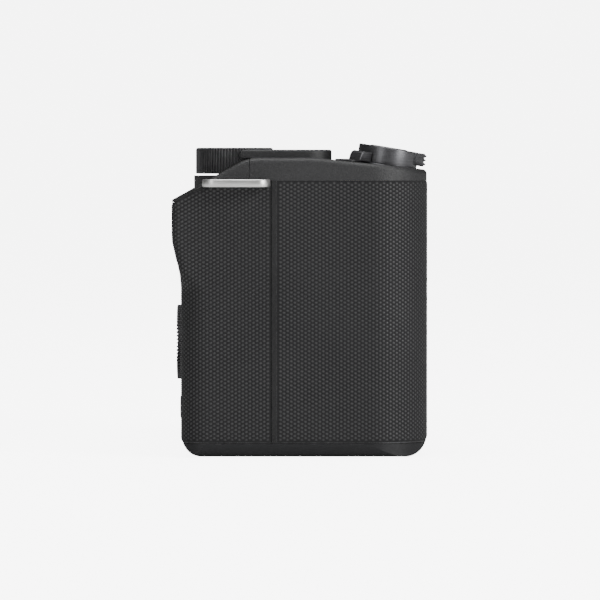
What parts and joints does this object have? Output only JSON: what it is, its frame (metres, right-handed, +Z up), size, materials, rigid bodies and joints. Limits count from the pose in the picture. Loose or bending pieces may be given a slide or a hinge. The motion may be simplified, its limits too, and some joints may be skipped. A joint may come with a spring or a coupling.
{
  "type": "compact interchangeable-lens camera body",
  "caption": "Compact camera body without viewfinder: textured grip, tilted shutter and zoom control, rear dial, swing-out monitor, lens mount, battery door and strap lugs.",
  "frame": {"origin": "middle of the width and depth, on the plane the feet rest on", "axes": "+X from the hand grip towards the port side, -Y is the lens side, +Z up"},
  "size_m": [0.1252, 0.0546, 0.0669],
  "materials": {
    "body_plastic": "fine satin grain",
    "base_plastic": "satin",
    "grip_rubber": "hexagonal dot texture",
    "port_rubber": "satin",
    "control_metal": "black anodised, spun",
    "button_plastic": "semi gloss",
    "steel": "satin",
    "mount_metal": "turned bright metal",
    "gold_contact": "plated",
    "inner_plastic": "matt",
    "cast_frame": "cast, dark",
    "board_green": "printed circuit",
    "chip_black": "moulded",
    "clear_glass": "polished",
    "sensor_die": "polished",
    "grille_metal": "matt perforated",
    "socket_metal": "plated"
  },
  "bodies": {
    "camera_body": {"accessory_shoe": "steel", "assist_lamp_window": "clear_glass", "audio_jacks": "socket_metal", "battery": "chip_black", "battery_box": "inner_plastic", "board_chips": "chip_black", "bottom_cover": "base_plastic", "card_slot": "socket_metal", "chassis_frame": "cast_frame", "data_sockets": "socket_metal", "front_cover": "body_plastic", "grip_front_rubber": "grip_rubber", "grip_rear_rubber": "grip_rubber", "heat_plate": "cast_frame", "hinge_pins": "steel", "image_sensor": "sensor_die", "lens_mount_ring": "mount_metal", "machine_screws": "steel", "main_board": "board_green", "memory_card": "chip_black", "mic_grille": "grille_metal", "microphone_capsules": "socket_metal", "mount_contact_block": "inner_plastic", "mount_contacts": "gold_contact", "port_panel": "inner_plastic", "rear_cover": "body_plastic", "sensor_carrier": "inner_plastic", "sensor_filter_glass": "clear_glass", "speaker": "inner_plastic", "strap_lugs": "steel", "switch_boards": "board_green", "tactile_switches": "gold_contact", "top_cover": "body_plastic", "tripod_socket": "steel", "wheel_base": "inner_plastic"},
    "shutter": {"shutter_button": "control_metal"},
    "zoom": {"zoom_lever": "control_metal"},
    "power": {"power_switch": "control_metal"},
    "dial": {"rear_dial": "control_metal"},
    "record_key": {"record_button": "button_plastic"},
    "custom_key": {"custom_button": "button_plastic"},
    "mode_key": {"mode_button": "button_plastic"},
    "menu_key": {"menu_button": "button_plastic"},
    "function_key": {"function_button": "button_plastic"},
    "playback_key": {"playback_button": "button_plastic"},
    "delete_key": {"delete_button": "button_plastic"},
    "rocker": {"wheel_rocker_ring": "inner_plastic"},
    "carrier": {"wheel_carrier": "inner_plastic"},
    "wheel": {"control_wheel": "control_metal"},
    "center_key": {"wheel_center_button": "button_plastic"},
    "release_key": {"lens_release_button": "button_plastic"},
    "lock_pin": {"lens_lock_pin": "steel"},
    "monitor": {"monitor_case": "body_plastic", "monitor_glass": "clear_glass"},
    "door": {"battery_door": "base_plastic"},
    "latch": {"battery_door_latch": "base_plastic"},
    "upper_port": {"upper_port_door": "port_rubber"},
    "lower_port": {"lower_port_door": "port_rubber"}
  },
  "joints": [
    {"name": "shutter_press", "type": "slide", "parent": "zoom", "child": "shutter", "axis": [0, 0.1633, -0.9866], "range_m": [0, 0.0006], "stiffness_N_per_m": 300},
    {"name": "zoom_turn", "type": "hinge", "parent": "camera_body", "child": "zoom", "pos_m": [-0.044, -0.0186, 0.06275], "axis": [0, -0.1633, 0.9866], "range_deg": [-25, 25], "stiffness_Nm_per_rad": 0.02},
    {"name": "power_turn", "type": "hinge", "parent": "camera_body", "child": "power", "pos_m": [-0.044, -0.0186, 0.06275], "axis": [0, -0.1633, 0.9866], "range_deg": [-30, 0]},
    {"name": "dial_turn", "type": "hinge", "parent": "camera_body", "child": "dial", "pos_m": [-0.0396, 0.0141, 0.063], "axis": [0, 0, 1], "continuous": true},
    {"name": "record_press", "type": "slide", "parent": "camera_body", "child": "record_key", "axis": [0, 0, -1], "range_m": [0, 0.0004], "stiffness_N_per_m": 300},
    {"name": "custom_press", "type": "slide", "parent": "camera_body", "child": "custom_key", "axis": [0, 0, -1], "range_m": [0, 0.0004], "stiffness_N_per_m": 300},
    {"name": "mode_press", "type": "slide", "parent": "camera_body", "child": "mode_key", "axis": [0, 0, -1], "range_m": [0, 0.0004], "stiffness_N_per_m": 300},
    {"name": "menu_press", "type": "slide", "parent": "camera_body", "child": "menu_key", "axis": [0, -1, 0], "range_m": [0, 0.0004], "stiffness_N_per_m": 300},
    {"name": "function_press", "type": "slide", "parent": "camera_body", "child": "function_key", "axis": [0, -1, 0], "range_m": [0, 0.0004], "stiffness_N_per_m": 300},
    {"name": "playback_press", "type": "slide", "parent": "camera_body", "child": "playback_key", "axis": [0, -1, 0], "range_m": [0, 0.0004], "stiffness_N_per_m": 300},
    {"name": "delete_press", "type": "slide", "parent": "camera_body", "child": "delete_key", "axis": [0, -1, 0], "range_m": [0, 0.0004], "stiffness_N_per_m": 300},
    {"name": "wheel_rock_up_down", "type": "hinge", "parent": "camera_body", "child": "rocker", "pos_m": [-0.0385, 0.0215, 0.0241], "axis": [1, 0, 0], "range_deg": [-2.5, 2.5], "stiffness_Nm_per_rad": 0.05},
    {"name": "wheel_rock_left_right", "type": "hinge", "parent": "rocker", "child": "carrier", "pos_m": [-0.0385, 0.0215, 0.0241], "axis": [0, 0, 1], "range_deg": [-2.5, 2.5], "stiffness_Nm_per_rad": 0.05},
    {"name": "wheel_turn", "type": "hinge", "parent": "carrier", "child": "wheel", "pos_m": [-0.0385, 0.0253, 0.0241], "axis": [0, 1, 0], "continuous": true},
    {"name": "center_press", "type": "slide", "parent": "carrier", "child": "center_key", "axis": [0, -1, 0], "range_m": [0, 0.0004], "stiffness_N_per_m": 300},
    {"name": "release_press", "type": "slide", "parent": "camera_body", "child": "release_key", "axis": [0, 1, 0], "range_m": [0, 0.0016], "stiffness_N_per_m": 400},
    {"name": "lock_pin_slide", "type": "slide", "parent": "camera_body", "child": "lock_pin", "axis": [0, 1, 0], "range_m": [0, 0.0016], "stiffness_N_per_m": 300},
    {"name": "monitor_swing", "type": "hinge", "parent": "camera_body", "child": "monitor", "pos_m": [0.0556, 0.02355, 0.029], "axis": [0, 0, -1], "range_deg": [0, 176]},
    {"name": "battery_door_open", "type": "hinge", "parent": "camera_body", "child": "door", "pos_m": [-0.0539, -0.002, 0.00095], "axis": [0, 1, 0], "range_deg": [0, 95]},
    {"name": "battery_door_latch_slide", "type": "slide", "parent": "door", "child": "latch", "axis": [0, 1, 0], "range_m": [0, 0.003]},
    {"name": "upper_port_open", "type": "hinge", "parent": "camera_body", "child": "upper_port", "pos_m": [0.0567, 0.0045, 0.045], "axis": [0, 0, 1], "range_deg": [0, 105]},
    {"name": "lower_port_open", "type": "hinge", "parent": "camera_body", "child": "lower_port", "pos_m": [0.0567, 0.0045, 0.022], "axis": [0, 0, 1], "range_deg": [0, 105]}
  ],
  "couplings": [
    {"joint": "lock_pin_slide", "follows": "release_press", "ratio": 1}
  ]
}
